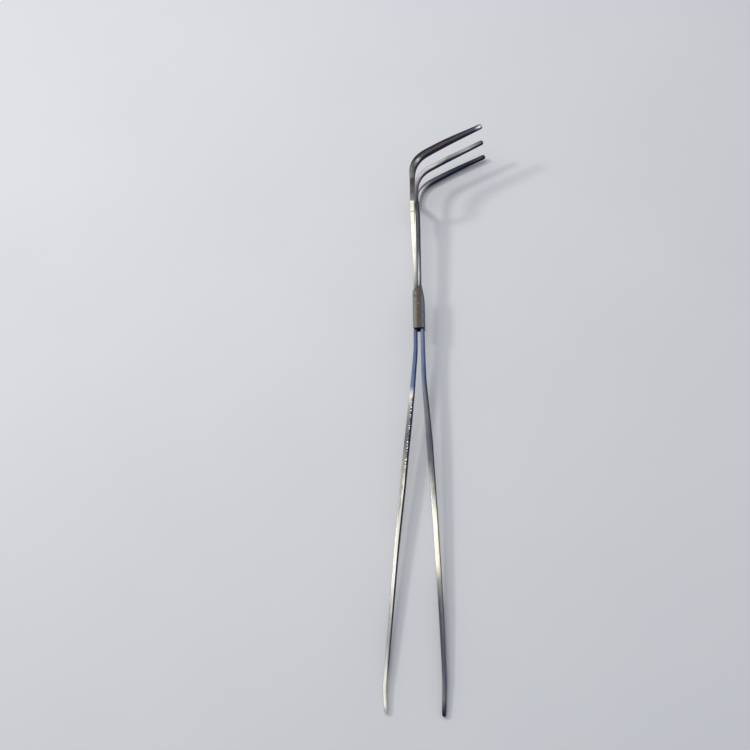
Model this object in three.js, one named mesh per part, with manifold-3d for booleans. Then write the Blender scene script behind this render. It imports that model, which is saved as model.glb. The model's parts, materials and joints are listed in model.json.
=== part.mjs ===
// Long crucible tongs forged from flat bar.
//
// Two arms cross in a flat box joint and turn on one rivet. The fork arm carries two outer prongs and
// the middle arm carries the prong that closes between them, so a crucible is held at three places.
//
// The tongs are drawn closed and flat, with the pivot at the origin: +Y along the shanks, +X towards the
// side the prongs point to, +Z along the pivot. The finished group is then tipped so that it rests on
// z = 0 on the lower prong and on both handle ends, and centred over the origin. Lengths are millimetres.

import * as THREE from "three";
import { mergeVertices } from "three/addons/utils/BufferGeometryUtils.js";
import Module from "manifold-3d";

const wasm = await Module();
wasm.setup();

// ----------------------------------------------------------------------------------------- dimensions

const FIT_GAP = 0.05; // between faces that touch in the real joint
const BAR_DEPTH = 4.8; // handle and shank bars, along the pivot
const BAR_CHAMFER = 0.8; // broken edges of every bar
const CHAMFER_LIMIT = 0.6; // the most of a half side that a chamfer takes on a thin bar

const CHEEK = { thickness: 1.8, bevel: 0.25, inner: BAR_DEPTH / 2 + FIT_GAP, corner: 0.6 };
const CHEEK_OUTLINE = { left: -4.5, right: 5.0, bottom: -23.8, topLeft: 12.6, topRight: 18, shoulder: 2.6 };

const PIVOT = { radius: 1.5, clearance: 0.05, eyeRadius: 3.2 };
const WASHER = { thickness: 0.4, outerRadius: 3 };
const WAIST_DEPTH = 2 * (CHEEK.inner - WASHER.thickness - 2 * FIT_GAP);

const RIVET_RADIUS = 0.75;
const SHANK_RIVETS = { upper: [-2.3, 13.2], lower: [-2.8, 7] };
const HANDLE_RIVETS = { upper: [2.95, -8], lower: [2.95, -18] };
const DRILL_LENGTH = 30; // more than any piece it passes through

const SHANK_END = 103.2;
const PRONG_SPREAD = 21; // each outer prong's distance from the middle prong
const LAP = { x: -3.3, start: 92, end: 104, width: 4.1, depth: 3, bend: 3 }; // a prong's seat on the shank
const LAP_HEIGHT = BAR_DEPTH / 2 + FIT_GAP + LAP.depth / 2;
const FLARE_TOP = { x: -0.95, y: 114.5, bend: 7 };

// Beads that hold the outer prongs: a ramp below each lap, and one filling the valley between the prongs.
const TOE_WELD = { width: 3.8, run: 12, rise: 2.7, swell: 0.52 };
const ROOT_WELD = { left: -5.3, right: -1.7, bottom: 103.3, crown: 3.6 };
const ROOT_FLANK = [[2.3, 0], [2.7, 1.25], [3.4, 2.2]]; // from the middle plane, above the bead's bottom
const BEAD_SEGMENTS = 6;

const ROUND_SEGMENTS = 32;
const ARC_STEP = THREE.MathUtils.degToRad(14); // turn between two rings of a bend
const TIP_RINGS = [0, 0.35, 0.7, 0.92]; // how far round a rounded tip each ring sits, 1 being its very end
const SAME_POINT = 1e-4; // two vertices closer than this are one

// Every knot is a corner of a bar's centre line: its place, the bar's width and depth there, and the
// radius of the bend.
const MIDDLE_ARM = [
  { at: [-29, -338.6, 0], width: 2.8, depth: 3.8 },
  { at: [-29.85, -322, 0], width: 3.2, depth: 4.4, bend: 60 },
  { at: [-21.05, -223, 0], width: 3.5, depth: 4.8, bend: 600 },
  { at: [-14, -154, 0], width: 4.8, depth: 4.8, bend: 600 },
  { at: [-6.35, -82, 0], width: 4.2, depth: 4.6, bend: 200 },
  { at: [-3.05, -44, 0], width: 3.3, depth: 4.4, bend: 120 },
  { at: [-2.8, -25, 0], width: 3.2, depth: 4.2, bend: 30 },
  { at: [-2.2, -16, 0], width: 2.9, depth: WAIST_DEPTH, bend: 30 },
  { at: [0.7, 12, 0], width: 2.7, depth: WAIST_DEPTH, bend: 60 },
  { at: [1.3, 22, 0], width: 3.1, depth: 4.2, bend: 60 },
  { at: [1.3, 92, 0], width: 3.1, depth: 4.2, bend: 60 },
  { at: [-0.1, 110, 0], width: 3.2, depth: 4.2, bend: 60 },
  { at: [-0.1, 133.1, 0], width: 4.5, depth: 4.4, bend: 24 },
  { at: [30, 148.3, 0], width: 4.2, depth: 4.2, bend: 300 },
  { at: [61, 163.2, 0], width: 3.6, depth: 3.4 },
];
const RIGHT_HANDLE = [
  { at: [13, -342.4, 0], width: 2.9, depth: 3.8 },
  { at: [14.25, -316, 0], width: 3.4, depth: 4.4, bend: 90 },
  { at: [13.05, -264, 0], width: 4, depth: 4.8, bend: 600 },
  { at: [10.35, -196, 0], width: 4.2, depth: 4.8, bend: 600 },
  { at: [7, -125, 0], width: 5.1, depth: 4.8, bend: 600 },
  { at: [3.4, -70, 0], width: 3.8, depth: 4.8, bend: 200 },
  { at: [3.05, -30, 0], width: 3.2, depth: 4.8, bend: 100 },
  { at: [2.95, -3.8, 0], width: 2.9, depth: 4.8 },
];
const FORK_SHANK = [
  { at: [-2.95, 4.2, 0], width: 2.5, depth: BAR_DEPTH },
  { at: [-2.05, 18, 0], width: 2.9, depth: BAR_DEPTH, bend: 60 },
  { at: [-2, 38, 0], width: 3.1, depth: BAR_DEPTH, bend: 100 },
  { at: [-2.7, 68, 0], width: 4.5, depth: BAR_DEPTH, bend: 100 },
  { at: [-2.85, 90, 0], width: 4.8, depth: BAR_DEPTH, bend: 100 },
  { at: [-3.45, SHANK_END, 0], width: 4.2, depth: BAR_DEPTH },
];

// An outer prong past its flare: straight up, round the corner, then out through a knee to the tip.
// side is 1 for the prong above the middle plane and -1 for the one below it.
const NEAR_PRONG = {
  side: 1,
  straight: { width: 4.4, depth: 4.6 },
  corner: { y: 134, width: 6.3, depth: 5.2, bend: 25 },
  knee: { x: 28, y: 149.6, width: 5.5, depth: 4.9, bend: 300 },
  tip: { x: 61.8, y: 164.6, width: 4, depth: 3.6 },
};
const FAR_PRONG = {
  side: -1,
  straight: { width: 3.9, depth: 4.4 },
  corner: { y: 133.1, width: 4.6, depth: 4.4, bend: 24 },
  knee: { x: 28, y: 148.2, width: 4.1, depth: 4.1, bend: 300 },
  tip: { x: 61, y: 162.7, width: 3.6, depth: 3.4 },
};

// ----------------------------------------------------------------------------------------- finishes

const steel = (color, roughness) => new THREE.MeshStandardMaterial({ color, roughness, metalness: 1 });
const FINISH = {
  bar: () => steel(0xb9b6ac, 0.32),
  prong: () => steel(0x77716b, 0.38),
  cheek: () => steel(0x7c736a, 0.45),
  rivet: () => steel(0x9a958c, 0.35),
  weld: () => steel(0x5d5650, 0.6),
};

// ----------------------------------------------------------------------------------------- bar making

// The centre line through the knots, each inner corner rounded by its bend radius.
// Returns the sampled points, each with the distance along the line, and the distance of every knot.
function centreLine(knots) {
  const corners = knots.map((knot) => new THREE.Vector3(...knot.at));
  const samples = [corners[0].clone()];
  const knotSamples = [0];
  for (let i = 1; i < corners.length - 1; i++) {
    const back = corners[i - 1].clone().sub(corners[i]);
    const ahead = corners[i + 1].clone().sub(corners[i]);
    const turn = Math.PI - back.angleTo(ahead);
    const reach = knots[i].bend * Math.tan(turn / 2);
    const arc = new THREE.QuadraticBezierCurve3(
      corners[i].clone().addScaledVector(back.normalize(), reach),
      corners[i],
      corners[i].clone().addScaledVector(ahead.normalize(), reach),
    );
    const steps = 2 * Math.max(1, Math.ceil(turn / ARC_STEP));
    const points = arc.getPoints(steps);
    knotSamples.push(samples.length + steps / 2);
    samples.push(...points);
  }
  samples.push(corners.at(-1).clone());
  knotSamples.push(samples.length - 1);
  const distances = [0];
  for (let i = 1; i < samples.length; i++)
    distances.push(distances[i - 1] + samples[i].distanceTo(samples[i - 1]));
  return { samples, distances, knotDistances: knotSamples.map((i) => distances[i]) };
}

// Width and depth at a distance along the bar, changing evenly from knot to knot.
function sizeAt(distance, knots, knotDistances) {
  const next = Math.max(1, knotDistances.findIndex((knotDistance) => knotDistance >= distance));
  const share = (distance - knotDistances[next - 1]) / (knotDistances[next] - knotDistances[next - 1]);
  const between = (key) => THREE.MathUtils.lerp(knots[next - 1][key], knots[next][key], share);
  return { width: between("width"), depth: between("depth") };
}

// A rectangle with chamfered corners, anticlockwise.
function sectionPoints({ width, depth }) {
  const x = width / 2;
  const y = depth / 2;
  const c = Math.min(BAR_CHAMFER, CHAMFER_LIMIT * x, CHAMFER_LIMIT * y);
  return [
    [x, c - y], [x, y - c], [x - c, y], [c - x, y],
    [-x, y - c], [-x, c - y], [c - x, -y], [x - c, -y],
  ];
}

// Rings that round the bar off towards its last point.
function roundedTip(end, direction, size) {
  const reach = size.width / 2;
  return TIP_RINGS.map((share) => {
    const shrink = Math.sqrt(1 - share ** 2);
    return {
      point: end.clone().addScaledVector(direction, (share - 1) * reach),
      size: { width: size.width * shrink, depth: size.depth * shrink },
    };
  });
}

// A solid bar whose width lies across the centre line and whose depth starts out along the pivot.
function barGeometry(knots, { roundStart = false, roundEnd = false } = {}) {
  const { samples, distances, knotDistances } = centreLine(knots);
  let rings = samples.map((point, i) => ({ point, size: sizeAt(distances[i], knots, knotDistances) }));
  const headingOf = (a, b) => b.clone().sub(a).normalize();
  if (roundEnd) {
    const direction = headingOf(samples.at(-2), samples.at(-1));
    rings = [...rings.slice(0, -1), ...roundedTip(samples.at(-1), direction, rings.at(-1).size)];
  }
  if (roundStart) {
    const direction = headingOf(samples[1], samples[0]);
    rings = [...roundedTip(samples[0], direction, rings[0].size).reverse(), ...rings.slice(1)];
  }
  const positions = [];
  let across = new THREE.Vector3(1, 0, 0);
  let heading = new THREE.Vector3(0, 1, 0);
  rings.forEach((ring, i) => {
    const before = rings[Math.max(0, i - 1)].point;
    const after = rings[Math.min(rings.length - 1, i + 1)].point;
    const tangent = headingOf(before, after);
    across.applyQuaternion(new THREE.Quaternion().setFromUnitVectors(heading, tangent));
    heading = tangent;
    const through = heading.clone().cross(across);
    for (const [x, y] of sectionPoints(ring.size)) {
      const vertex = ring.point.clone().addScaledVector(across, x).addScaledVector(through, y);
      positions.push(...vertex.toArray());
    }
  });
  const sides = sectionPoints(rings[0].size).length;
  const last = (rings.length - 1) * sides;
  const faces = [];
  for (let i = 0; i < rings.length - 1; i++)
    for (let j = 0; j < sides; j++) {
      const a = i * sides + j;
      const b = i * sides + ((j + 1) % sides);
      faces.push(a, b, b + sides, a, b + sides, a + sides);
    }
  for (let j = 1; j < sides - 1; j++)
    faces.push(0, j + 1, j, last, last + j, last + j + 1);
  return new THREE.BufferGeometry()
    .setAttribute("position", new THREE.Float32BufferAttribute(positions, 3))
    .setIndex(faces);
}

// ----------------------------------------------------------------------------------------- solids

function solidOf(geometry) {
  const bare = geometry.clone();
  bare.deleteAttribute("normal");
  bare.deleteAttribute("uv");
  const merged = mergeVertices(bare, SAME_POINT);
  const vertProperties = new Float32Array(merged.attributes.position.array);
  const triVerts = new Uint32Array(merged.index.array);
  return new wasm.Manifold(new wasm.Mesh({ numProp: 3, vertProperties, triVerts }));
}

function geometryOf(solid) {
  const { vertProperties, triVerts } = solid.getMesh();
  return new THREE.BufferGeometry()
    .setAttribute("position", new THREE.BufferAttribute(vertProperties, 3))
    .setIndex(new THREE.BufferAttribute(triVerts, 1));
}

// A cylinder along the pivot direction, centred on the bars' middle plane.
function crossCylinder(radius, length, [x, y]) {
  return new THREE.CylinderGeometry(radius, radius, length, ROUND_SEGMENTS)
    .rotateX(Math.PI / 2)
    .translate(x, y, 0);
}

const drilled = (solid, radius, places) =>
  places.reduce((s, place) => s.subtract(solidOf(crossCylinder(radius, DRILL_LENGTH, place))), solid);

function namedMesh(name, geometry, material) {
  geometry.computeVertexNormals();
  const mesh = new THREE.Mesh(geometry, material);
  mesh.name = name;
  return mesh;
}

// ----------------------------------------------------------------------------------------- pieces

const rivetHole = RIVET_RADIUS + FIT_GAP;

function middleArm() {
  const bar = solidOf(barGeometry(MIDDLE_ARM, { roundEnd: true }));
  const eye = solidOf(crossCylinder(PIVOT.eyeRadius, WAIST_DEPTH, [0, 0]));
  return geometryOf(drilled(bar.add(eye), PIVOT.radius + PIVOT.clearance, [[0, 0]]));
}

function rightHandle() {
  const bar = solidOf(barGeometry(RIGHT_HANDLE, { roundStart: true }));
  return geometryOf(drilled(bar, rivetHole, Object.values(HANDLE_RIVETS)));
}

function forkShank() {
  const bar = solidOf(barGeometry(FORK_SHANK));
  return geometryOf(drilled(bar, rivetHole, Object.values(SHANK_RIVETS)));
}

function outerProng({ side, straight, corner, knee, tip }) {
  const z = side * PRONG_SPREAD;
  const lap = { width: LAP.width, depth: LAP.depth, bend: LAP.bend };
  const knots = [
    { ...lap, at: [LAP.x, LAP.start, side * LAP_HEIGHT] },
    { ...lap, at: [LAP.x, LAP.end, side * LAP_HEIGHT] },
    { ...straight, at: [FLARE_TOP.x, FLARE_TOP.y, z], bend: FLARE_TOP.bend },
    { ...corner, at: [FLARE_TOP.x, corner.y, z] },
    { ...knee, at: [knee.x, knee.y, z] },
    { ...tip, at: [tip.x, tip.y, z] },
  ];
  return barGeometry(knots, { roundEnd: true });
}

// A bead of the given outline, running from z = 0 to its length before it is turned into place.
const beadGeometry = (profile, length) =>
  new THREE.ExtrudeGeometry(profile, { depth: length, bevelEnabled: false, curveSegments: BEAD_SEGMENTS });

// The ramp from the fork shank's face up to the lower end of a prong's lap.
function toeWeld(side) {
  const { width, run, rise, swell } = TOE_WELD;
  const profile = new THREE.Shape().moveTo(0, 0).lineTo(run, 0);
  profile.quadraticCurveTo(swell * run, swell * rise, 0, rise).lineTo(0, 0);
  const bead = beadGeometry(profile, width).translate(0, 0, -width / 2);
  const down = new THREE.Vector3(0, -1, 0);
  const out = new THREE.Vector3(0, 0, side);
  bead.applyMatrix4(new THREE.Matrix4().makeBasis(down, out, down.clone().cross(out)));
  return bead.translate(LAP.x, LAP.start - FIT_GAP, side * (BAR_DEPTH / 2 + FIT_GAP));
}

// The bead that fills the valley between the two prongs, on the end of the fork shank.
function rootWeld() {
  const { left, right, bottom, crown } = ROOT_WELD;
  const flank = ROOT_FLANK.map(([z, rise]) => new THREE.Vector2(z, bottom + rise));
  const mirrored = flank.map(({ x, y }) => new THREE.Vector2(-x, y)).reverse();
  const profile = new THREE.Shape(flank);
  profile.quadraticCurveTo(0, bottom + crown, mirrored[0].x, mirrored[0].y);
  mirrored.slice(1).forEach(({ x, y }) => profile.lineTo(x, y));
  const across = new THREE.Vector3(0, 0, 1);
  const up = new THREE.Vector3(0, 1, 0);
  return beadGeometry(profile, right - left)
    .applyMatrix4(new THREE.Matrix4().makeBasis(across, up, across.clone().cross(up)))
    .translate(right, 0, 0);
}

// A joint plate: straight left side, sloped top, and a right side that rounds over a long shoulder.
function cheek(side) {
  const { left, right, bottom, topLeft, topRight, shoulder } = CHEEK_OUTLINE;
  const { thickness, bevel, inner, corner: r } = CHEEK;
  const outline = new THREE.Shape();
  outline.moveTo(left + r, bottom);
  outline.lineTo(right - r, bottom).quadraticCurveTo(right, bottom, right, bottom + r);
  outline.lineTo(right, 0).quadraticCurveTo(right, topRight / 2, shoulder + r, topRight - r);
  outline.quadraticCurveTo(shoulder, topRight, shoulder - r, topRight - r / 2);
  outline.lineTo(left + r, topLeft).quadraticCurveTo(left, topLeft - r / 2, left, topLeft - 2 * r);
  outline.lineTo(left, bottom + r).quadraticCurveTo(left, bottom, left + r, bottom);
  const plate = new THREE.ExtrudeGeometry(outline, {
    depth: thickness - 2 * bevel,
    bevelThickness: bevel,
    bevelSize: bevel,
    bevelOffset: -bevel,
    bevelSegments: 1,
    curveSegments: BEAD_SEGMENTS,
  });
  plate.translate(0, 0, bevel + (side > 0 ? inner : -inner - thickness));
  const rivets = [...Object.values(SHANK_RIVETS), ...Object.values(HANDLE_RIVETS)];
  const pivoted = drilled(solidOf(plate), PIVOT.radius + PIVOT.clearance, [[0, 0]]);
  return geometryOf(drilled(pivoted, rivetHole, rivets));
}

// A pin through both plates, its ends dressed flush with them.
function flushPin(radius, place) {
  const length = 2 * (CHEEK.inner + CHEEK.thickness - FIT_GAP);
  return crossCylinder(radius, length, place);
}

// A thin ring between the middle arm's eye and a plate.
function washer(side) {
  const { outerRadius, thickness } = WASHER;
  const ring = new THREE.Shape().absarc(0, 0, outerRadius, 0, 2 * Math.PI);
  ring.holes.push(new THREE.Path().absarc(0, 0, PIVOT.radius + PIVOT.clearance, 0, 2 * Math.PI, true));
  const disc = new THREE.ExtrudeGeometry(ring, {
    depth: thickness,
    bevelEnabled: false,
    curveSegments: ROUND_SEGMENTS / 2,
  });
  const middleHeight = side * (WAIST_DEPTH / 2 + FIT_GAP + thickness / 2);
  return disc.translate(0, 0, middleHeight - thickness / 2);
}

// ----------------------------------------------------------------------------------------- assembly

const forkArm = new THREE.Group();
forkArm.add(
  namedMesh("right_handle", rightHandle(), FINISH.bar()),
  namedMesh("fork_shank", forkShank(), FINISH.bar()),
  namedMesh("near_prong", outerProng(NEAR_PRONG), FINISH.prong()),
  namedMesh("far_prong", outerProng(FAR_PRONG), FINISH.prong()),
  namedMesh("near_toe_weld", toeWeld(1), FINISH.weld()),
  namedMesh("far_toe_weld", toeWeld(-1), FINISH.weld()),
  namedMesh("root_weld", rootWeld(), FINISH.weld()),
  namedMesh("front_cheek", cheek(1), FINISH.cheek()),
  namedMesh("rear_cheek", cheek(-1), FINISH.cheek()),
  namedMesh("pivot_rivet", flushPin(PIVOT.radius, [0, 0]), FINISH.rivet()),
  namedMesh("front_washer", washer(1), FINISH.rivet()),
  namedMesh("rear_washer", washer(-1), FINISH.rivet()),
);
for (const [bar, places] of Object.entries({ shank: SHANK_RIVETS, handle: HANDLE_RIVETS }))
  for (const [end, place] of Object.entries(places))
    forkArm.add(namedMesh(`${bar}_rivet_${end}`, flushPin(RIVET_RADIUS, place), FINISH.rivet()));

const middle = new THREE.Group();
middle.add(namedMesh("middle_arm", middleArm(), FINISH.bar()));

// The lower prong and the handle ends touch the bench, which tips the tongs about X.
const handleEnd = RIGHT_HANDLE[0];
const prongDrop = PRONG_SPREAD + FAR_PRONG.straight.depth / 2 - handleEnd.depth / 2;
const REST_TILT = Math.atan2(prongDrop, FLARE_TOP.y - handleEnd.at[1]);

const tongs = new THREE.Group();
tongs.add(forkArm, middle);
tongs.rotation.x = REST_TILT;
const extent = new THREE.Box3().setFromObject(tongs, true);
const middleOf = (axis) => (extent.min[axis] + extent.max[axis]) / 2;
tongs.position.set(-middleOf("x"), -middleOf("y"), -extent.min.z);

export default tongs;
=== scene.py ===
"""Crucible tongs: the fine surfaces and finishes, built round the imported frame.

Each bar is followed along its CAD node by slicing it, and lofted again with rounded edges, crowned faces
and the small waves of forging. Plates, pins, washers and weld beads are rebuilt from the same frame. Lengths
in this script are millimetres in the tongs' own frame: x towards the side the prongs point to, y from the
handles to the prongs, z along the pivot rivet out of the front plate, with the pivot at 0.
"""
import json
import math

import bmesh
import bpy
import numpy as np
from mathutils import Matrix, Vector, noise

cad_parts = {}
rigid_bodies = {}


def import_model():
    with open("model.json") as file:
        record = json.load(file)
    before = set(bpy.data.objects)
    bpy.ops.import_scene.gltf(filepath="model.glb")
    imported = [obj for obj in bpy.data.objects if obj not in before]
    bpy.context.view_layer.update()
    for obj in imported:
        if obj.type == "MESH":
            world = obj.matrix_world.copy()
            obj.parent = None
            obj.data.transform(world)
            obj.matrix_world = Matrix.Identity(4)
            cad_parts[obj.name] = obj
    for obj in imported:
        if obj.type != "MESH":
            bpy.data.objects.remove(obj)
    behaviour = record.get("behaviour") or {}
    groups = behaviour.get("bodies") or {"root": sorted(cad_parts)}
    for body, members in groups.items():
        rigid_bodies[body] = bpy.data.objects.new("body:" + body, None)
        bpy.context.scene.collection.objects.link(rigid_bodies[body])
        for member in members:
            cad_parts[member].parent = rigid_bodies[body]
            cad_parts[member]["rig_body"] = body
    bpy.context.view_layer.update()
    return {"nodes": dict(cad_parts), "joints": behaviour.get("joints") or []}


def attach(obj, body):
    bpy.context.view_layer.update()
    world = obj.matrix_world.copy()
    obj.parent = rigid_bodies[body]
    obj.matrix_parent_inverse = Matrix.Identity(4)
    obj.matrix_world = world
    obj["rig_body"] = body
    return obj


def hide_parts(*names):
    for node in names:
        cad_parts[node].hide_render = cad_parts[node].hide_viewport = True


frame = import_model()

MM = 0.001
JOINT = frame["joints"][0]
PIVOT = np.array(JOINT["pos_m"])
OUT = -np.array(JOINT["axis"]) / np.linalg.norm(JOINT["axis"])
RIGHT = np.array([1.0, 0.0, 0.0])
AHEAD = np.cross(OUT, RIGHT)
AXES = np.array([RIGHT, AHEAD, OUT])


def to_tongs(points):
    """World metres to millimetres in the tongs' frame."""
    return (np.asarray(points) - PIVOT) @ AXES.T / MM


def to_world(points):
    """Millimetres in the tongs' frame to world metres."""
    return np.asarray(points) @ AXES * MM + PIVOT


def unit(vector):
    return vector / np.linalg.norm(vector)


def smooth(values, spread):
    """Moving Gaussian average along the first axis, whose two ends stay where they are."""
    reach = int(3 * spread) + 1
    weights = np.exp(-0.5 * (np.arange(-reach, reach + 1) / spread) ** 2)
    weights /= weights.sum()
    rows = np.asarray(values, float).reshape(len(values), -1)
    before = 2 * rows[0] - rows[reach:0:-1]
    after = 2 * rows[-1] - rows[-2 : -reach - 2 : -1]
    padded = np.vstack([before, rows, after])
    averaged = np.stack([np.convolve(column, weights, mode="valid") for column in padded.T], axis=1)
    return averaged.reshape(np.shape(values))


SEED_SLOPE = 0.37  # so that whole-number seeds don't all fall on the noise's own grid


def wave(place, length, seed):
    """A smooth wave between about -1 and 1 along a bar, with no fixed period."""
    return noise.noise(Vector((place / length, seed, SEED_SLOPE * seed)))


# ------------------------------------------------------------------------------------------ reading the frame


def cad_vertices(node):
    return to_tongs([v.co for v in frame["nodes"][node].data.vertices])


def cad_extent(node):
    """Lowest and highest corner of a CAD node in the tongs' frame."""
    vertices = cad_vertices(node)
    return vertices.min(axis=0), vertices.max(axis=0)


class Slicer:
    """Cuts a CAD node with planes."""

    def __init__(self, node):
        self.vertices = cad_vertices(node)
        edges = np.array([e.vertices[:] for e in frame["nodes"][node].data.edges])
        self.starts = self.vertices[edges[:, 0]]
        self.ends = self.vertices[edges[:, 1]]

    def cut(self, point, normal):
        """Where the node's edges cross a plane."""
        before = (self.starts - point) @ normal
        after = (self.ends - point) @ normal
        crossing = before * after < 0
        share = before[crossing] / (before[crossing] - after[crossing])
        return self.starts[crossing] + (self.ends[crossing] - self.starts[crossing]) * share[:, None]


class Bar:
    """A bar's centre line, width and depth at each station, found by slicing a CAD node along its length."""

    STEP = 0.5  # between stations
    REACH = 6.0  # a slice keeps what lies this close to the centre line
    LAG = 3  # stations over which the heading is measured
    FEWEST = 4  # points that make a slice
    END_ROUNDING = 3.4  # length at each end whose slices don't count towards the sizes
    REFINEMENTS = 3
    PATH_SPREAD = 2  # stations over which the centre line is evened out before each new slicing
    CENTRE_SPREAD = 3  # and after the last one
    SIZE_SPREAD = 5  # the same for width and depth

    def __init__(self, node):
        self.slicer = Slicer(node)
        self.follow()
        for _ in range(self.REFINEMENTS):
            self.refine()
        self.measure()

    def slice(self, point, heading, across):
        """The centre, width and depth where a plane across the heading cuts the bar, or None past its end."""
        offsets = self.slicer.cut(point, heading) - point
        offsets = offsets[np.linalg.norm(offsets, axis=1) < self.REACH]
        if len(offsets) < self.FEWEST:
            return None
        out = np.cross(across, heading)
        u = offsets @ across
        v = offsets @ out
        middle = across * (u.min() + u.max()) / 2 + out * (v.min() + v.max()) / 2
        return point + middle, np.ptp(u), np.ptp(v)

    def follow(self):
        """Steps along the bar from its lowest end."""
        vertices = self.slicer.vertices
        end = vertices[vertices[:, 1] < vertices[:, 1].min() + self.STEP]
        heading = np.array([0.0, 1.0, 0.0])
        across = np.array([1.0, 0.0, 0.0])
        point = end.mean(axis=0) + heading * self.STEP
        self.centres = []
        while (cut := self.slice(point, heading, across)) is not None:
            self.centres.append(cut[0])
            if len(self.centres) > self.LAG:
                heading = unit(self.centres[-1] - self.centres[-1 - self.LAG])
                across = unit(across - heading * (across @ heading))
            point = self.centres[-1] + heading * self.STEP

    def refine(self):
        """Slices again at each station, square to the centre line."""
        centres = smooth(self.centres, self.PATH_SPREAD)
        across = np.array([1.0, 0.0, 0.0])
        cuts = []
        for centre, heading in zip(centres, np.gradient(centres, axis=0)):
            heading = unit(heading)
            across = unit(across - heading * (across @ heading))
            cuts.append(self.slice(centre, heading, across))
        cuts = [cut for cut in cuts if cut is not None]
        self.centres = np.array([cut[0] for cut in cuts])
        self.sizes = np.array([cut[1:] for cut in cuts])

    def measure(self):
        """Evens out the centre line and sizes, leaving the CAD's own end rounding out of the sizes."""
        steps = np.linalg.norm(np.diff(self.centres, axis=0), axis=1)
        self.places = np.concatenate([[0], np.cumsum(steps)])
        self.start = -self.STEP
        self.end = self.places[-1] + self.STEP / 2
        self.centres = smooth(self.centres, self.CENTRE_SPREAD)
        self.headings = np.gradient(self.centres, axis=0)
        inner = (self.places > self.END_ROUNDING) & (self.places < self.end - self.END_ROUNDING)
        self.size_places = self.places[inner]
        self.sizes = smooth(self.sizes[inner], self.SIZE_SPREAD)

    def heading(self, place):
        return unit(np.array([np.interp(place, self.places, column) for column in self.headings.T]))

    def centre(self, place):
        inside = min(max(place, 0.0), self.places[-1])
        point = np.array([np.interp(inside, self.places, column) for column in self.centres.T])
        return point + self.heading(place) * (place - inside)

    def size(self, place):
        return [np.interp(place, self.size_places, column) for column in self.sizes.T]


# ------------------------------------------------------------------------------------------ mesh making

TURN = Matrix(AXES).transposed().to_4x4()  # from the tongs' axes to the world's
ROUND_POINTS = 48  # round a pin, a washer and a hole
DRILL_LENGTH = 30.0
SHARP = math.radians(40)
CORNERS = [(1, 1), (-1, 1), (-1, -1), (1, -1)]


def new_piece(name, vertices, faces, material):
    """A smooth-shaded mesh object from points in the tongs' frame."""
    mesh = bpy.data.meshes.new(name)
    mesh.from_pydata([tuple(p) for p in to_world(vertices)], [], faces)
    tidy = bmesh.new()
    tidy.from_mesh(mesh)
    bmesh.ops.recalc_face_normals(tidy, faces=tidy.faces)
    tidy.to_mesh(mesh)
    tidy.free()
    mesh.shade_smooth()
    mesh.materials.append(material)
    piece = bpy.data.objects.new(name, mesh)
    bpy.context.scene.collection.objects.link(piece)
    return piece


def finish_piece(piece, node):
    """Keeps sharp rims sharp, and makes the piece ride with and stand for its CAD node."""
    piece.data.set_sharp_from_angle(angle=SHARP)
    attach(piece, frame["nodes"][node]["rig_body"])
    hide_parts(node)


def store(piece, **values):
    """Keeps one number per vertex on the mesh for the materials to read."""
    for key, numbers in values.items():
        layer = piece.data.attributes.new(key, "FLOAT", "POINT")
        layer.data.foreach_set("value", np.asarray(numbers, np.float32))


def loft(rings):
    """Vertices and faces of a closed tube through rings of equal length, each end closed by a fan."""
    count = len(rings[0])
    last = (len(rings) - 1) * count
    first_centre = len(rings) * count
    vertices = np.vstack([*rings, rings[0].mean(axis=0), rings[-1].mean(axis=0)])
    faces = []
    for j in range(count):
        k = (j + 1) % count
        for i in range(0, last, count):
            faces.append((i + j, i + k, i + count + k, i + count + j))
        faces.append((k, j, first_centre))
        faces.append((last + j, last + k, first_centre + 1))
    return vertices, faces


def section(width, depth, radius, crown, corner_points=6, face_points=4):
    """A rounded rectangle, anticlockwise, whose faces swell by the crown towards their middles."""
    half_u = width / 2
    half_v = depth / 2
    radius = min(radius, 0.8 * half_u, 0.8 * half_v)
    crown = min(crown, (half_u - radius) / 2, (half_v - radius) / 2)
    span_u = half_u - crown - radius
    span_v = half_v - crown - radius
    ring = []
    for corner, (cu, cv) in enumerate(CORNERS):
        for k in range(corner_points):
            angle = math.pi / 2 * (corner + k / (corner_points - 1))
            ring.append((cu * span_u + radius * math.cos(angle), cv * span_v + radius * math.sin(angle)))
        for k in range(1, face_points + 1):
            share = 1 - 2 * k / (face_points + 1)
            swell = radius + crown * (1 - share * share)
            if corner % 2 == 0:
                ring.append((cu * share * span_u, cv * (span_v + swell)))
            else:
                ring.append((cu * (span_u + swell), cv * share * span_v))
    return np.array(ring)


def cut_holes(piece, holes):
    """Drills round holes (x, y, radius) through a piece along the pivot direction."""
    drill = bmesh.new()
    for x, y, radius in holes:
        place = Matrix.Translation(Vector(to_world((x, y, 0.0)))) @ TURN
        bmesh.ops.create_cone(drill, cap_ends=True, segments=ROUND_POINTS, radius1=radius * MM,
                              radius2=radius * MM, depth=DRILL_LENGTH * MM, matrix=place)
    mesh = bpy.data.meshes.new("drill")
    drill.to_mesh(mesh)
    drill.free()
    cutter = bpy.data.objects.new("drill", mesh)
    bpy.context.scene.collection.objects.link(cutter)
    holes_cut = piece.modifiers.new("holes", "BOOLEAN")
    holes_cut.operation = "DIFFERENCE"
    holes_cut.solver = "EXACT"
    holes_cut.object = cutter
    bpy.context.view_layer.update()
    evaluated = piece.evaluated_get(bpy.context.evaluated_depsgraph_get())
    drilled = bpy.data.meshes.new_from_object(evaluated)
    piece.modifiers.clear()
    piece.data = drilled
    bpy.data.objects.remove(cutter)


# ------------------------------------------------------------------------------------------ finishes


def srgb(red, green, blue):
    """A display colour, 0 to 255, as the linear colour that a shader reads."""
    shares = [c / 255 for c in (red, green, blue)]
    return [s / 12.92 if s <= 0.04045 else ((s + 0.055) / 1.055) ** 2.4 for s in shares]


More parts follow.
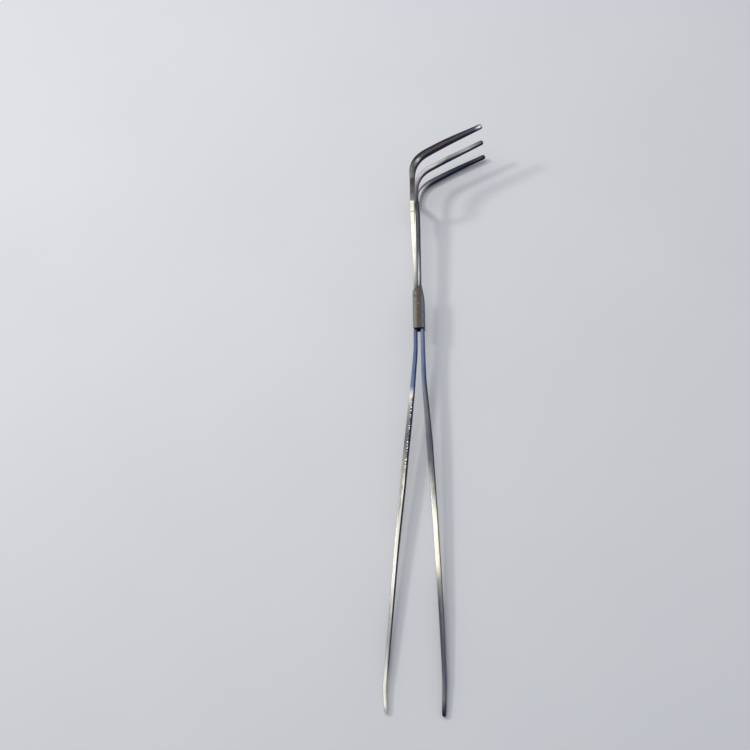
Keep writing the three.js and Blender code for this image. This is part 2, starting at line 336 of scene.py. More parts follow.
# The light, dark and blue stretches that the bars mirror in their surroundings are painted into the metal,
# because the plain floor and lamps of this scene give them little to mirror.
WHITE = srgb(252, 252, 250)
CREAM = srgb(246, 241, 222)
PALE = srgb(216, 213, 200)
SILVER = srgb(188, 189, 184)
SAND = srgb(184, 176, 156)
GREY = srgb(150, 151, 148)
LILAC = srgb(146, 144, 160)
PINK = srgb(208, 202, 206)
OLIVE = srgb(144, 142, 124)
MOSS = srgb(116, 118, 108)
LEAD = srgb(114, 115, 116)
TAUPE = srgb(112, 105, 100)
IRON = srgb(92, 93, 101)
GRAPHITE = srgb(74, 76, 86)
UMBER = srgb(84, 76, 70)
ROSE = srgb(90, 72, 80)
SOOT = srgb(52, 52, 56)
SLATE = srgb(100, 114, 140)
DUSK = srgb(82, 98, 130)
PLUM = srgb(66, 60, 86)
INDIGO = srgb(54, 67, 114)
TEAL = srgb(46, 60, 72)
NAVY = srgb(30, 39, 66)
BLUE = srgb(38, 62, 102)


RELIEF = 0.15  # strength of every metal's relief


class Finish:
    """One material's node tree, with a short call for each kind of node."""

    def __init__(self, name):
        self.material = bpy.data.materials.new(name)
        self.material.use_nodes = True
        self.tree = self.material.node_tree
        self.tree.nodes.clear()

    def node(self, kind, inputs=None, **settings):
        made = self.tree.nodes.new(kind)
        for key, value in settings.items():
            setattr(made, key, value)
        for socket, value in (inputs or {}).items():
            if isinstance(value, bpy.types.NodeSocket):
                self.tree.links.new(value, made.inputs[socket])
            else:
                made.inputs[socket].default_value = value
        return made

    def math(self, operation, a, b=0.0):
        return self.node("ShaderNodeMath", {0: a, 1: b}, operation=operation).outputs[0]

    def times(self, a, b):
        return self.math("MULTIPLY", a, b)

    def read(self, name):
        return self.node("ShaderNodeAttribute", attribute_name=name).outputs["Fac"]

    def vector(self, x, y, z):
        return self.node("ShaderNodeCombineXYZ", {"X": x, "Y": y, "Z": z}).outputs[0]

    def rise(self, value, low, high):
        """0 below low, 1 above high, smooth between; low above high turns it round."""
        inputs = {"Value": value, "From Min": low, "From Max": high}
        return self.node("ShaderNodeMapRange", inputs, interpolation_type="SMOOTHSTEP").outputs[0]

    def mix(self, share, a, b, blend="MIX"):
        made = self.node("ShaderNodeMix", data_type="RGBA", blend_type=blend, clamp_factor=True)
        for socket, value in ((0, share), (6, a), (7, b)):
            if isinstance(value, bpy.types.NodeSocket):
                self.tree.links.new(value, made.inputs[socket])
            else:
                made.inputs[socket].default_value = value if socket == 0 else (*value, 1)
        return made.outputs[2]

    def noise(self, vector, scale, detail, roughness=0.6):
        inputs = {"Vector": vector, "Scale": scale, "Detail": detail, "Roughness": roughness}
        return self.node("ShaderNodeTexNoise", inputs).outputs["Fac"]

    def grain(self, along=1.0, across=1.0, through=1.0, scale=1.0, detail=4, roughness=0.6):
        """Noise over a piece's stored coordinates, each multiplied first: below 1 draws it out that way."""
        factors = {"along": along, "across": across, "through": through}
        place = self.vector(*[self.times(self.read(name), factor) for name, factor in factors.items()])
        return self.noise(place, scale, detail, roughness)

    def sway(self, value, reach):
        """Noise, which lies round 0.5, turned into a change of about half the reach either way."""
        return self.times(self.math("SUBTRACT", value, 0.5), reach)

    def zones(self, place, stops):
        """The colour at a place, changing evenly between (place, colour) stops."""
        low = stops[0][0]
        high = stops[-1][0]
        inputs = {"Value": place, "From Min": low, "From Max": high}
        share = self.node("ShaderNodeMapRange", inputs).outputs[0]
        made = self.node("ShaderNodeValToRGB", {"Fac": share})
        elements = made.color_ramp.elements
        elements[0].color = (*stops[0][1], 1)
        elements[1].color = (*stops[-1][1], 1)
        for where, colour in stops[1:-1]:
            elements.new((where - low) / (high - low)).color = (*colour, 1)
        return made.outputs[0]

    def metal(self, colour, roughness, height):
        """Joins a metal surface to the output. The height is in millimetres of relief."""
        relief = self.node("ShaderNodeBump", {"Height": height, "Strength": RELIEF, "Distance": MM})
        inputs = {"Base Color": colour, "Roughness": roughness, "Metallic": 1.0, "Normal": relief.outputs[0]}
        surface = self.node("ShaderNodeBsdfPrincipled", inputs)
        self.node("ShaderNodeOutputMaterial", {"Surface": surface.outputs[0]})
        return self.material


# Each pair is where a mask is 0 and where it is 1. Across and through run from -1 to 1 over a bar's section.
HANDLE_TO_PRONG = (-20, 120)  # where along a bar its handle's painted shade strip turns into its prong's
LEFT_TO_RIGHT = (-0.25, 0.3)  # across, from the left half's colours to the right half's
FLANK = (0.86, 0.98)  # across, onto the right narrow face and its painted shade
FLAT = (0.97, 0.82)  # through, off the rounded edges
STRIP_BORDER = (0.0, 0.2)  # across, past the start of the painted shade strip
EDGE = (0.8, 0.93)  # across and through, onto the rounded edges
BORDER_SWAY = 1.6  # half widths over which the border between the halves' colours wanders
LINE_SHARE = 0.75
RUB_SHARE = 0.35
STAIN_SHARE = 0.45
PAINTED_GLINT_LEFT = (-0.05, 0.15)  # across, where the painted glints start
PAINTED_GLINT_RIGHT = (0.66, 0.5)  # across, where they end
PAINTED_GLINT_FRONT = (0.5, 0.9)  # through
PAINTED_GLINT_SHARE = 0.9

BAR_ROUGHNESS = 0.36
PLATE_ROUGHNESS = 0.4
PIN_ROUGHNESS = 0.3
WELD_ROUGHNESS = 0.38


def bar_finish(name, left, right, side, strip=(0.86, 0.86), glints=None):
    """Drawn and hand-dressed bar.

    left and right are the colour zones of the two halves of the broad faces, and side those of the right
    narrow face, each by distance along the bar; all three paint in reflection and shade. The side colour,
    mostly painted shade and painted blue reflection, also covers the broad faces right of strip, given for
    the handle and for the prong. glints is the stretch (low, high, fade) of the front face that carries
    painted glints, small painted highlights just right of its middle.
    """
    steel = Finish(name)
    along = steel.read("along")
    across = steel.read("across")
    through = steel.read("through")
    lines = steel.grain(along=0.035, across=7, through=7, detail=5)
    clouds = steel.grain(along=0.12)
    specks = steel.grain(across=2, through=2, scale=1.4, roughness=0.75)

    # The two halves of the broad faces take painted reflection colours, with a wandering border between them.
    border = steel.math("ADD", across, steel.sway(clouds, BORDER_SWAY))
    face = steel.mix(steel.rise(border, *LEFT_TO_RIGHT), steel.zones(along, left), steel.zones(along, right))
    # The right narrow face and the broad face right of the strip take the side colours: painted shade and
    # painted reflection of blue surroundings.
    flank = steel.rise(across, *FLANK)
    flat = steel.rise(steel.math("ABSOLUTE", through), *FLAT)
    to_prong = steel.rise(along, *HANDLE_TO_PRONG)
    strip_start = steel.math("ADD", steel.times(to_prong, strip[1] - strip[0]), strip[0])
    past_strip = steel.rise(steel.math("SUBTRACT", across, strip_start), *STRIP_BORDER)
    side_shade_and_reflection = steel.math("MAXIMUM", steel.times(flank, flat), past_strip)
    colour = steel.mix(side_shade_and_reflection, face, steel.zones(along, side))

    shade = steel.mix(steel.rise(lines, 0.3, 0.72), (0.62, 0.6, 0.58), (1.12, 1.12, 1.12))
    colour = steel.mix(LINE_SHARE, colour, shade, "MULTIPLY")
    edge = steel.times(steel.rise(steel.math("ABSOLUTE", across), *EDGE),
                       steel.rise(steel.math("ABSOLUTE", through), *EDGE))
    rubbed = steel.times(edge, steel.rise(specks, 0.5, 0.66))
    colour = steel.mix(steel.times(rubbed, RUB_SHARE), colour, SILVER)
    stained = steel.rise(specks, 0.42, 0.3)
    colour = steel.mix(steel.times(stained, STAIN_SHARE), colour, UMBER)
    roughness = steel.math("ADD", BAR_ROUGHNESS, steel.sway(clouds, 0.3))
    height = steel.math("ADD", steel.times(lines, 0.06), steel.times(specks, 0.05))
    # Painted glints: small white highlights painted into the front face, a little smoother there.
    if glints:
        low, high, fade = glints
        stretch = steel.times(steel.rise(along, low, low + fade), steel.rise(along, high, high - fade))
        painted_glint_spots = steel.rise(steel.grain(across=1.6, scale=0.85, detail=2), 0.54, 0.62)
        band = steel.times(steel.rise(across, *PAINTED_GLINT_LEFT), steel.rise(across, *PAINTED_GLINT_RIGHT))
        front = steel.rise(through, *PAINTED_GLINT_FRONT)
        painted_glint = steel.times(steel.times(stretch, painted_glint_spots), steel.times(band, front))
        painted_glint = steel.times(painted_glint, PAINTED_GLINT_SHARE)
        colour = steel.mix(painted_glint, colour, WHITE)
        roughness = steel.math("SUBTRACT", roughness, steel.times(painted_glint, 0.15))
    return steel.metal(colour, roughness, height)


def plate_finish(name):
    """Satin plate, browned by heat, with painted reflection across it: lighter grey near its left edge and
    bluish grey near its right edge.
    """
    steel = Finish(name)
    across = steel.read("across")
    lines = steel.grain(along=0.25, across=12, detail=5)
    clouds = steel.grain(along=0.14, across=1.3)
    specks = steel.grain(across=4.7, scale=0.8, roughness=0.75)

    # Across the plate: painted reflection, lighter greenish grey at the left edge and bluish grey at the
    # right, round a heat-browned middle.
    stops = [(-1.0, LEAD), (-0.85, MOSS), (-0.52, MOSS), (-0.4, TAUPE), (-0.1, UMBER), (0.4, UMBER),
             (0.6, IRON), (0.82, SLATE), (1.0, SLATE)]
    colour = steel.zones(steel.math("ADD", across, steel.sway(clouds, 0.5)), stops)
    shade = steel.mix(steel.rise(lines, 0.3, 0.7), (0.74, 0.73, 0.72), (1.12, 1.12, 1.1))
    colour = steel.mix(0.8, colour, shade, "MULTIPLY")
    browned = steel.times(steel.rise(clouds, 0.55, 0.75), 0.35)
    colour = steel.mix(browned, colour, UMBER)
    edge = steel.rise(steel.math("ABSOLUTE", across), 0.88, 0.98)
    rubbed = steel.times(edge, steel.rise(specks, 0.45, 0.62))
    colour = steel.mix(steel.times(rubbed, 0.5), colour, PALE)
    pitted = steel.times(steel.rise(specks, 0.4, 0.28), 0.5)
    colour = steel.mix(pitted, colour, SOOT)
    roughness = steel.math("ADD", PLATE_ROUGHNESS, steel.sway(specks, 0.25))
    height = steel.math("ADD", steel.times(lines, 0.05), steel.times(specks, 0.06))
    return steel.metal(colour, roughness, height)


def pin_finish(name):
    """Peened steel, cloudy brown, speckled darker where dirt sits. Its noise scales are per metre."""
    steel = Finish(name)
    place = steel.node("ShaderNodeTexCoord").outputs["Object"]
    specks = steel.noise(place, scale=900, detail=4, roughness=0.7)
    clouds = steel.noise(place, scale=260, detail=3)
    colour = steel.mix(steel.rise(clouds, 0.35, 0.65), UMBER, TAUPE)
    dirt = steel.times(steel.rise(specks, 0.42, 0.3), 0.7)
    colour = steel.mix(dirt, colour, SOOT)
    roughness = steel.math("ADD", PIN_ROUGHNESS, steel.times(specks, 0.25))
    return steel.metal(colour, roughness, steel.times(specks, 0.08))


def weld_finish(name, valley, tints):
    """Weld metal: the colour of its valleys and the tints of its crests. Its noise scales are per metre."""
    steel = Finish(name)
    place = steel.node("ShaderNodeTexCoord").outputs["Object"]
    ripple = steel.read("ripple")
    clouds = steel.noise(place, scale=420, detail=4)
    specks = steel.noise(place, scale=1600, detail=3, roughness=0.7)
    colour = steel.mix(steel.rise(ripple, -0.4, 0.8), valley, steel.zones(clouds, tints))
    crest = steel.times(steel.rise(ripple, 0.3, 1.0), 0.4)
    colour = steel.mix(crest, colour, PALE)
    roughness = steel.math("ADD", WELD_ROUGHNESS, steel.times(specks, 0.3))
    return steel.metal(colour, roughness, steel.times(specks, 0.12))


# ------------------------------------------------------------------------------------------ bars

RING_PITCH = 0.6
JOINT_EASE = 8.0  # the waves of forging grow over this length outside the plates
SHANK_DRIFT = 0.3  # share of the drift kept where the shanks lie side by side
PLATE_LOW = cad_extent("front_cheek")[0][1]
PLATE_HIGH = cad_extent("front_cheek")[1][1]


class Smithing:
    """How far a bar strays from its drawn shape, and the stretch (low, high, fade) of nicked right edge."""

    SWELL = 0.03  # share of the width and depth
    SWELL_LENGTHS = (14, 19)  # of the waves in width and in depth
    ROLL = math.radians(2.5)
    ROLL_LENGTH = 45
    DRIFT_LENGTH = 30
    NICK_LENGTH = 1.7
    NICK_DEPTH = 0.45
    NICK_START = 1.1  # of the sum of a point's shares across and through, which is near 2 at the corner
    NICK_BLEND = 0.6  # from there to the full depth

    def __init__(self, seed, drift=0.12, nicks=None):
        self.seed = seed
        self.drift = drift
        self.nicks = nicks

    def freedom(self, y):
        """0 between the plates, 1 well clear of them."""
        return min(max(PLATE_LOW - y, y - PLATE_HIGH, 0.0) / JOINT_EASE, 1.0)

    def shape(self, ring, along, y):
        """A section's points after the waves of forging."""
        free = self.freedom(y)
        swells = [wave(along, length, self.seed + i) for i, length in enumerate(self.SWELL_LENGTHS)]
        ring = ring * (1 + free * self.SWELL * np.array(swells))
        if self.nicks:
            ring = self.nick(ring, along)
        roll = free * self.ROLL * wave(along, self.ROLL_LENGTH, self.seed + 2)
        turn = np.array([[math.cos(roll), math.sin(roll)], [-math.sin(roll), math.cos(roll)]])
        drift = free * self.drift * wave(along, self.DRIFT_LENGTH, self.seed + 3)
        if y > 0:
            drift *= SHANK_DRIFT
        return ring @ turn + (drift, 0)

    def nick(self, ring, along):
        """Bites out of the front right edge."""
        low, high, fade = self.nicks
        nearness = min(along - low, high - along) / fade
        roughness = max(wave(along, self.NICK_LENGTH, self.seed + 4), 0.0)
        bite = self.NICK_DEPTH * min(max(nearness, 0.0), 1.0) * roughness
        reach = ring.max(axis=0)
        corner = np.clip(((ring / reach).sum(axis=1) - self.NICK_START) / self.NICK_BLEND, 0, 1)
        return ring - bite * corner[:, None]


class Tip:
    """A bar's end: the length of its rounding, the share of the section left at the very end, and how far its
    point leans across the bar in half widths."""

    RINGS = 10

    def __init__(self, reach, flat=0.1, lean=0.0):
        self.reach = reach
        self.flat = flat
        self.lean = lean

    def rings(self):
        """(distance from the end, share of the section, lean), from the end inwards."""
        for k in range(self.RINGS):
            angle = math.pi / 2 * k / (self.RINGS - 1)
            share = self.flat + (1 - self.flat) * math.sin(angle)
            yield self.reach * (1 - math.cos(angle)), share, self.lean * (1 - share)


SAWN = Tip(0.5, flat=0.8)


def forge(node, material, smithing, start=SAWN, end=SAWN, radius=0.65, crown=0.08, holes=()):
    """Lofts a bar again along its CAD node, with rounded edges, dressed ends and the waves of forging."""
    bar = Bar(node)
    low = bar.start + start.reach
    high = bar.end - end.reach
    body = np.linspace(low, high, int((high - low) / RING_PITCH) + 1)[1:-1]
    stations = [(bar.start + back, share, lean) for back, share, lean in start.rings()]
    stations += [(place, 1.0, 0.0) for place in body]
    stations += [(bar.end - back, share, lean) for back, share, lean in end.rings()][::-1]
    from_pivot = bar.centres[0][1]
    across = RIGHT
    rings = []
    along = []
    shares = []
    for place, share, lean in stations:
        heading = bar.heading(place)
        across = unit(across - heading * (across @ heading))
        out = np.cross(across, heading)
        centre = bar.centre(place)
        width, depth = bar.size(place)
        ring = section(width, depth, radius, crown)
        shares.append(ring / (width / 2, depth / 2))
        along.append(np.full(len(ring), place + from_pivot))
        ring = smithing.shape(ring * share + (lean * width / 2, 0), place + from_pivot, centre[1])
        rings.append(centre + ring[:, :1] * across + ring[:, 1:] * out)
    vertices, faces = loft(rings)
    piece = new_piece(node + "_bar", vertices, faces, material)
    ends = [along[0][0], along[-1][0]]
    store(piece, along=np.concatenate([*along, ends]),
          across=np.concatenate([*[s[:, 0] for s in shares], [0, 0]]),
          through=np.concatenate([*[s[:, 1] for s in shares], [0, 0]]))
    if holes:
        cut_holes(piece, holes)
    finish_piece(piece, node)


# ------------------------------------------------------------------------------------------ plates and pins

FIT = 0.05  # clearance round a pin
PLATE_EDGE = 0.42
PLATE_CROWN = 0.26
PLATE_PITCH = 0.35  # between the rings of a plate
PLATE_END_RINGS = 5  # over each rounded end
NARROWEST = 0.4  # least width of a plate's ring
CUT_IN = 0.01  # keeps the first cut inside the node
DOME = 0.14  # rise of a pin's ends
DOME_RINGS = (0.15, 0.35, 0.55, 0.75, 0.9)  # shares of the radius
RIM_RINGS = ((0.97, 0.02), (1.0, 0.1))  # share of the radius, distance from the end
SIDE_RINGS = (0.6, 0.2)  # shares of the half length
BEAD_PITCH = 0.1  # between the rings of a bead
BEAD_POINTS = 64  # round each ring
BEAD_END = 0.6  # length over which a bead's ends round off
BEAD_END_LOSS = 0.5  # share of the section's area lost at the very end
RIPPLE_LENGTH = 0.62
RIPPLE_BOW = 0.45  # ripple lengths by which the point farthest from the seat lags
RIPPLE_WANDER = 0.3  # ripple lengths of unevenness
RIPPLE_WANDER_LENGTH = 1.1
PINS = ["pivot_rivet", "shank_rivet_upper", "shank_rivet_lower", "handle_rivet_upper", "handle_rivet_lower"]


def hole_for(pin):
    low, high = cad_extent(pin)
    return ((low[0] + high[0]) / 2, (low[1] + high[1]) / 2, (high[0] - low[0]) / 2 + FIT)


def plate(node, material):
    """A joint plate with its CAD outline, rounded edges and gently crowned faces."""
    edge = PLATE_EDGE
    low, high = cad_extent(node)
    slicer = Slicer(node)
    middle = (low + high) / 2
    half = (high - low) / 2
    angles = [math.pi / 2 * k / PLATE_END_RINGS for k in range(PLATE_END_RINGS)]
    ends = [low[1] + edge * (1 - math.cos(angle)) + CUT_IN for angle in angles]
    body = np.linspace(low[1] + edge, high[1] - edge, int(2 * half[1] / PLATE_PITCH))
    tops = [low[1] + high[1] - y for y in ends][::-1]
    rings = []
    for y in [*ends, *body, *tops]:
        hits = slicer.cut(np.array([0, y, 0]), np.array([0.0, 1.0, 0.0]))
        left, right = hits[:, 0].min(), hits[:, 0].max()
        inwards = max(edge - (y - low[1]), edge - (high[1] - y), 0.0)
        inset = edge - math.sqrt(edge ** 2 - inwards ** 2)
        width = max(right - left - 2 * inset, NARROWEST)
        ring = section(width, 2 * (half[2] - inset), edge, PLATE_CROWN, face_points=12)
        ring = ring + ((left + right) / 2, middle[2])
        rings.append(np.column_stack([ring[:, 0], np.full(len(ring), y), ring[:, 1]]))
    vertices, faces = loft(rings)
    piece = new_piece(node + "_plate", vertices, faces, material)
    store(piece, along=vertices[:, 1], across=(vertices[:, 0] - middle[0]) / half[0],
          through=(vertices[:, 2] - middle[2]) / half[2])
    cut_holes(piece, [hole_for(name) for name in PINS])
    finish_piece(piece, node)


def circle(radius, z, centre):
    turns = np.arange(ROUND_POINTS) * 2 * math.pi / ROUND_POINTS
    x = centre[0] + radius * np.cos(turns)
    y = centre[1] + radius * np.sin(turns)
    return np.column_stack([x, y, np.full(ROUND_POINTS, z)])


def pin(node, material):
    """A riveted pin with rounded rims and slightly domed ends."""
    low, high = cad_extent(node)
    centre = (low + high) / 2
    radius = (high[0] - low[0]) / 2
    half = (high[2] - low[2]) / 2
    profile = [(radius * share, half + DOME * (1 - share * share)) for share in DOME_RINGS]
    profile += [(radius * share, half - back) for share, back in RIM_RINGS]
    profile += [(radius, half * share) for share in SIDE_RINGS]
    profile += [(r, -z) for r, z in profile[::-1]]
    vertices, faces = loft([circle(r, centre[2] + z, centre) for r, z in profile])
    finish_piece(new_piece(node + "_pin", vertices, faces, material), node)


def washer(node, material):
    """A flat ring with rounded rims."""
    vertices = cad_vertices(node)
    low, high = vertices.min(axis=0), vertices.max(axis=0)
    radii = np.linalg.norm(vertices[:, :2], axis=1)
    inner, outer = radii.min(), radii.max()
    profile = section(outer - inner, high[2] - low[2], radius=0.12, crown=0.01, corner_points=4)
    middle = (low[2] + high[2]) / 2
    rings = [circle((inner + outer) / 2 + u, middle + v, (0, 0)) for u, v in profile]
    count = len(rings[0])
    total = len(rings) * count
    faces = [(i + j, i + (j + 1) % count, (i + count) % total + (j + 1) % count, (i + count) % total + j)
             for i in range(0, total, count) for j in range(count)]
    finish_piece(new_piece(node + "_ring", np.vstack(rings), faces, material), node)


def bead(node, material, seed, seat, ripple_height):
    """A weld bead run across the bars, rippled where the pool froze.

    seat is the point of its profile that touches the bars, as shares of its box along y and z.
    """
    vertices = cad_vertices(node)
    low, high = vertices.min(axis=0), vertices.max(axis=0)
    profile = np.unique(vertices[vertices[:, 0] < low[0] + BEAD_PITCH][:, 1:].round(3), axis=0)
    middle = (profile.min(axis=0) + profile.max(axis=0)) / 2
    turns = np.arctan2(*(profile - middle).T)
    profile = profile[np.argsort(turns)]
    closed = np.vstack([profile, profile[:1]])
    lengths = np.concatenate([[0], np.cumsum(np.linalg.norm(np.diff(closed, axis=0), axis=1))])
    places = np.linspace(0, lengths[-1], BEAD_POINTS, endpoint=False)
    outline = np.column_stack([np.interp(places, lengths, column) for column in closed.T])
    for _ in range(2):
        outline = (np.roll(outline, 1, axis=0) + 2 * outline + np.roll(outline, -1, axis=0)) / 4
    anchor = low[1:] + np.array(seat) * (high - low)[1:]
    outline -= anchor
    bow = (np.linalg.norm(outline, axis=1) / np.linalg.norm(outline, axis=1).max()) ** 2
    rings = []
    ripples = []
    for x in np.arange(low[0], high[0] + BEAD_PITCH / 2, BEAD_PITCH):
        inwards = max(1 - min(x - low[0], high[0] - x) / BEAD_END, 0.0)
        share = math.sqrt(1 - BEAD_END_LOSS * inwards ** 2)
        unevenness = RIPPLE_WANDER * wave(x, RIPPLE_WANDER_LENGTH, seed)
        phase = x / RIPPLE_LENGTH - RIPPLE_BOW * bow + unevenness
        ripple = np.cos(2 * math.pi * phase)
        ring = outline * (share * (1 + ripple_height * ripple))[:, None] + anchor
        rings.append(np.column_stack([np.full(BEAD_POINTS, x), ring]))
        ripples.append(ripple)
    vertices, faces = loft(rings)
    piece = new_piece(node + "_bead", vertices, faces, material)
    store(piece, ripple=np.concatenate([*ripples, [0, 0]]))
    finish_piece(piece, node)


# ------------------------------------------------------------------------------------------ the tongs

NICKS_AND_PAINTED_GLINTS = (-152, -78, 6)  # low end, high end and fade of the stretch of left handle that is nicked and flecked with painted glints

# Each bar's colour zones below are painted reflection and painted shade, stretch by stretch along the bar.
middle_arm_finish = bar_finish(
    "middle_arm_steel",
    left=[(-342, WHITE), (-316, PALE), (-304, SILVER), (-288, GREY), (-262, GREY), (-240, PALE),
          (-200, PALE), (-180, GREY), (-142, OLIVE), (-125, IRON), (-106, LEAD), (-94, GREY), (-84, PALE),
          (-76, SLATE), (-30, DUSK), (0, UMBER), (16, TAUPE), (30, SILVER), (44, LILAC), (58, IRON),
          (104, IRON), (112, LEAD), (122, LILAC), (132, PINK), (156, PINK), (166, GREY), (184, SILVER),
          (197, LEAD), (203, ROSE)],
    right=[(-342, CREAM), (-312, WHITE), (-300, SILVER), (-287, GREY), (-268, SILVER), (-241, WHITE),
           (-222, WHITE), (-205, PALE), (-180, PALE), (-160, CREAM), (-148, GREY), (-140, LEAD),
           (-125, IRON), (-104, IRON), (-94, LEAD), (-84, PALE), (-77, SLATE), (-56, DUSK), (-30, DUSK),
           (0, UMBER), (16, TAUPE), (30, LILAC), (46, SLATE), (58, GRAPHITE), (104, PLUM), (120, LILAC),
           (134, PINK), (150, PALE), (162, LEAD), (184, SILVER), (197, LEAD), (203, SOOT)],
    side=[(-342, WHITE), (-316, PALE), (-303, SLATE), (-262, TEAL), (-230, NAVY), (-120, NAVY),
          (-85, BLUE), (-60, INDIGO), (-30, BLUE), (20, BLUE), (50, NAVY), (68, GRAPHITE), (105, PLUM),
          (125, TEAL), (145, NAVY), (206, NAVY)],
    strip=(0.42, 0.8),
    glints=NICKS_AND_PAINTED_GLINTS,
)
right_handle_finish = bar_finish(
    "right_handle_steel",
    left=[(-346, NAVY), (-338, SOOT), (-330, LEAD), (-314, IRON), (-300, GRAPHITE), (-260, GRAPHITE),
          (-250, LEAD), (-240, GREY), (-228, CREAM), (-190, CREAM), (-176, SILVER), (-160, GREY),
          (-142, IRON), (-125, IRON), (-90, LEAD), (-70, SLATE), (-4, SLATE)],
    right=[(-346, NAVY), (-338, PLUM), (-330, LEAD), (-314, IRON), (-300, IRON), (-258, LEAD),
           (-242, GREY), (-232, PALE), (-222, CREAM), (-190, CREAM), (-178, SILVER), (-168, OLIVE),
           (-158, LEAD), (-142, IRON), (-125, GRAPHITE), (-104, IRON), (-90, IRON), (-80, GRAPHITE),
           (-56, DUSK), (-30, SLATE), (-4, SLATE)],
    side=[(-346, NAVY), (-330, SLATE), (-300, LILAC), (-262, SLATE), (-240, OLIVE), (-215, GREY),
          (-192, SLATE), (-165, NAVY), (-120, PLUM), (-80, TEAL), (-50, BLUE), (-4, INDIGO)],
    strip=(0.62, 0.62),
)
fork_shank_finish = bar_finish(
    "fork_shank_steel",
    left=[(0, TAUPE), (14, LEAD), (22, GREY), (36, PALE), (52, CREAM), (66, WHITE), (86, WHITE),
          (94, CREAM), (100, PALE), (104, SILVER)],
    right=[(0, TAUPE), (18, LEAD), (26, GREY), (38, SILVER), (52, PALE), (66, CREAM), (84, CREAM),
           (94, PALE), (100, SILVER), (104, SAND)],
    side=[(0, TAUPE), (26, LEAD), (44, SILVER), (66, PALE), (104, SILVER)],
)
near_prong_finish = bar_finish(
    "near_prong_steel",
    left=[(92, CREAM), (103, PALE), (108, SILVER), (112, GREY), (117, OLIVE), (123, MOSS), (132, MOSS),
          (142, SOOT), (176, SOOT), (200, GRAPHITE), (206, LEAD), (211, WHITE)],
    right=[(92, CREAM), (103, PALE), (108, SILVER), (112, GREY), (117, OLIVE), (123, TAUPE),
           (134, GRAPHITE), (139, LEAD), (143, SILVER), (147, IRON), (153, GRAPHITE), (164, ROSE),
           (180, UMBER), (192, GRAPHITE), (202, IRON), (206, WHITE), (211, WHITE)],
    side=[(92, PALE), (103, SILVER), (109, IRON), (130, TEAL), (148, NAVY), (200, NAVY), (211, SLATE)],
)
far_prong_finish = bar_finish(
    "far_prong_steel",
    left=[(92, TAUPE), (124, LILAC), (136, LEAD), (150, IRON), (164, GRAPHITE), (176, TEAL), (192, TEAL),
          (202, ROSE), (210, NAVY)],
    right=[(92, TAUPE), (118, SILVER), (138, PINK), (146, GREY), (154, IRON), (166, GRAPHITE),
           (178, TEAL), (192, SOOT), (202, ROSE), (210, NAVY)],
    side=[(92, NAVY), (122, PALE), (140, SILVER), (150, TEAL), (160, NAVY), (210, NAVY)],
)
cheek_finish = plate_finish("cheek_steel")
rivet_finish = pin_finish("rivet_steel")
# The toe welds are ground weld metal, and their cream and white are painted reflection as bright as the bar
# faces beside them.
ground_weld_with_painted_sheen = weld_finish("ground_weld_with_painted_sheen", CREAM, [(0.25, PALE), (0.4, CREAM), (0.6, WHITE), (0.8, WHITE)])
raw_weld = weld_finish("raw_weld", SOOT, [(0.25, NAVY), (0.42, ROSE), (0.55, UMBER), (0.75, SAND)])

forge("middle_arm", middle_arm_finish, Smithing(3, nicks=NICKS_AND_PAINTED_GLINTS), holes=[hole_for("pivot_rivet")],
      start=Tip(5.0, lean=0.1), end=Tip(2.2))
forge("right_handle", right_handle_finish, Smithing(11), holes=[hole_for(p) for p in PINS[3:]],
      start=Tip(2.2))
forge("fork_shank", fork_shank_finish, Smithing(19, drift=0.05), holes=[hole_for(p) for p in PINS[1:3]],
      start=Tip(2.2, flat=0.55), radius=0.4, crown=0.04)
forge("near_prong", near_prong_finish, Smithing(27), end=Tip(2.4))
forge("far_prong", far_prong_finish, Smithing(35), end=Tip(2.2))
plate("front_cheek", cheek_finish)
plate("rear_cheek", cheek_finish)
for name in PINS:
    pin(name, rivet_finish)
washer("front_washer", rivet_finish)
washer("rear_washer", rivet_finish)
bead("near_toe_weld", ground_weld_with_painted_sheen, 5, seat=(1, 0), ripple_height=0.015)
bead("far_toe_weld", ground_weld_with_painted_sheen, 6, seat=(1, 1), ripple_height=0.015)
bead("root_weld", raw_weld, 7, seat=(0, 0.5), ripple_height=0.06)


# ------------------------------------------------------------------------------------------ stage

AIM = np.array([-37.1, -63.2, 0.0])  # the middle of the view
TILT = math.radians(27)  # of the view, towards the handle ends
SWING = math.radians(9)  # of the view, towards the side the prongs point to
DISTANCE = 1029.2  # from there to the camera
LENS = 60
FLOOR_REACH = 40.0  # metres, so that its edge looks like a horizon in low views


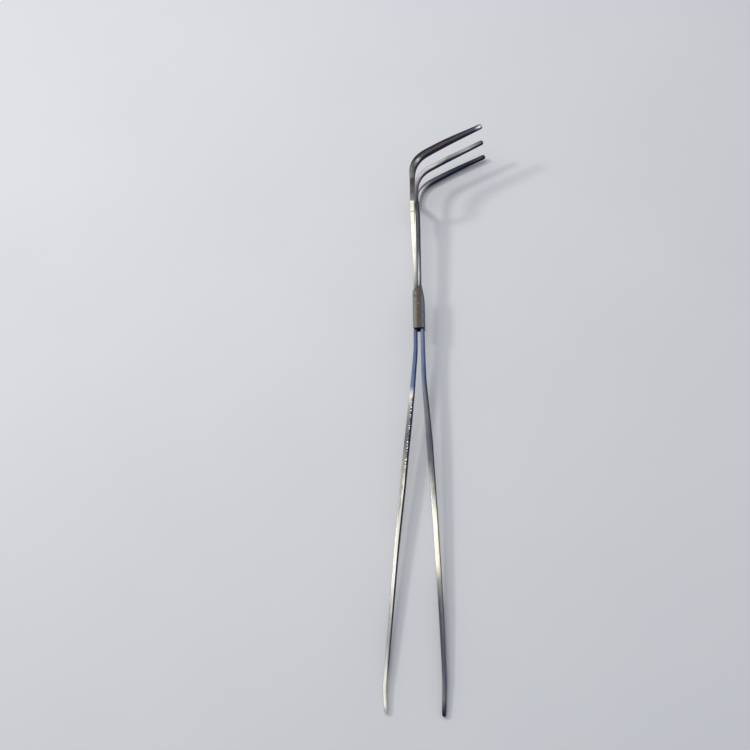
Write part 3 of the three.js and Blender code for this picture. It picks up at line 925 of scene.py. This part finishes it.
def make_floor():
    mesh = bpy.data.meshes.new("floor")
    corners = [(-FLOOR_REACH, -FLOOR_REACH, 0), (FLOOR_REACH, -FLOOR_REACH, 0), (FLOOR_REACH, FLOOR_REACH, 0),
               (-FLOOR_REACH, FLOOR_REACH, 0)]
    mesh.from_pydata(corners, [], [(0, 1, 2, 3)])
    floor = bpy.data.objects.new("floor", mesh)
    bpy.context.scene.collection.objects.link(floor)
    paint = Finish("floor_paint")
    clouds = paint.noise(paint.node("ShaderNodeTexCoord").outputs["Object"], 6, 2)
    colour = paint.mix(clouds, srgb(224, 226, 228), srgb(232, 233, 234))
    surface = paint.node("ShaderNodeBsdfPrincipled", {"Base Color": colour, "Roughness": 0.7})
    paint.node("ShaderNodeOutputMaterial", {"Surface": surface.outputs[0]})
    mesh.materials.append(paint.material)


def softbox(name, direction, distance, size, power, colour):
    """A square lamp that faces the joint from a direction in the tongs' frame."""
    lamp = bpy.data.lights.new(name, "AREA")
    lamp.size = size * MM
    lamp.energy = power
    lamp.color = colour
    holder = bpy.data.objects.new(name, lamp)
    towards = unit(np.array(direction, float)) @ AXES
    holder.location = PIVOT + towards * distance * MM
    holder.rotation_euler = Vector(towards).to_track_quat("Z", "Y").to_euler()
    bpy.context.scene.collection.objects.link(holder)


def make_camera():
    back = np.array([math.sin(SWING) * math.cos(TILT), -math.sin(TILT), math.cos(SWING) * math.cos(TILT)])
    side = np.array([math.cos(SWING), 0.0, -math.sin(SWING)])
    turn = Matrix((side @ AXES, np.cross(back, side) @ AXES, back @ AXES)).transposed().to_4x4()
    lens = bpy.data.cameras.new("camera")
    lens.lens = LENS
    camera = bpy.data.objects.new("camera", lens)
    camera.matrix_world = Matrix.Translation(Vector(to_world(AIM + back * DISTANCE))) @ turn
    bpy.context.scene.collection.objects.link(camera)
    bpy.context.scene.camera = camera


def make_sky():
    sky = bpy.data.worlds.new("studio")
    sky.use_nodes = True
    backdrop = sky.node_tree.nodes["Background"]
    backdrop.inputs["Color"].default_value = (0.86, 0.9, 1.0, 1)
    backdrop.inputs["Strength"].default_value = 0.45
    bpy.context.scene.world = sky


make_floor()
make_sky()
softbox("overhead", (-0.2, 0.33, 0.92), distance=1200, size=1150, power=5.0, colour=(1.0, 0.98, 0.95))
softbox("key", (-0.8, 0.35, 0.75), distance=1800, size=260, power=8.0, colour=(1.0, 0.97, 0.93))
make_camera()
bpy.context.scene.view_settings.view_transform = "Standard"
